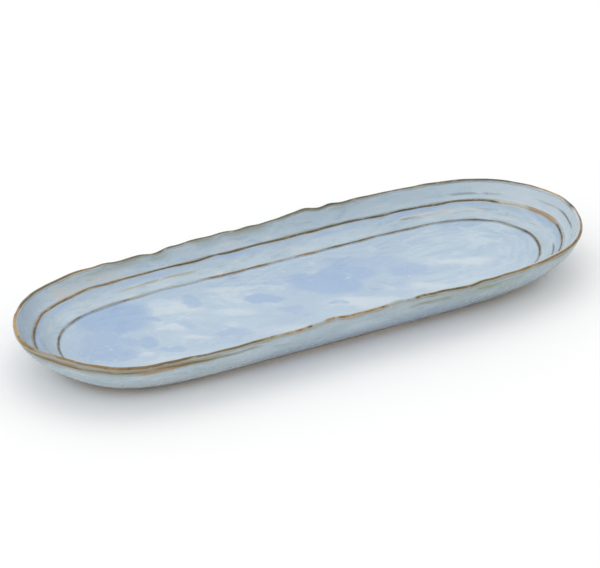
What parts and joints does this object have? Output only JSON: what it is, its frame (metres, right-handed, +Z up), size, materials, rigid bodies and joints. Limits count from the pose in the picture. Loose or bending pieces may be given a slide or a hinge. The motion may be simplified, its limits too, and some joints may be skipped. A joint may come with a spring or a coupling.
{
  "type": "serving platter",
  "caption": "Long narrow hand-formed ceramic serving platter with a stepped inside, soft pointed ends, brown edging and an oval foot ring.",
  "frame": {"origin": "on the table, under the middle of the platter", "axes": "+X along the platter, +Y across it, +Z up out of the dish"},
  "size_m": [0.4012, 0.139, 0.033],
  "materials": {
    "clay": "matt fired clay",
    "bare_foot": "matt fired clay, rubbed smooth where it stands",
    "pale_blue_glaze": "glossy pale blue glaze with deeper blue brush marks",
    "band_glaze": "glossy grey blue glaze, deeper where it pools",
    "outer_glaze": "glossy grey blue glaze with faint brown runs",
    "brown_edging": "glossy orange brown to dark olive edging"
  },
  "bodies": {
    "root": {"clay_body": "clay", "foot_ring": "bare_foot", "well_glaze": "pale_blue_glaze", "lower_band_glaze": "band_glaze", "upper_band_glaze": "band_glaze", "outer_wall_glaze": "outer_glaze", "underside_glaze": "outer_glaze", "rim_edging": "brown_edging", "upper_ridge_edging": "brown_edging", "lower_ridge_edging": "brown_edging"}
  },
  "joints": []
}
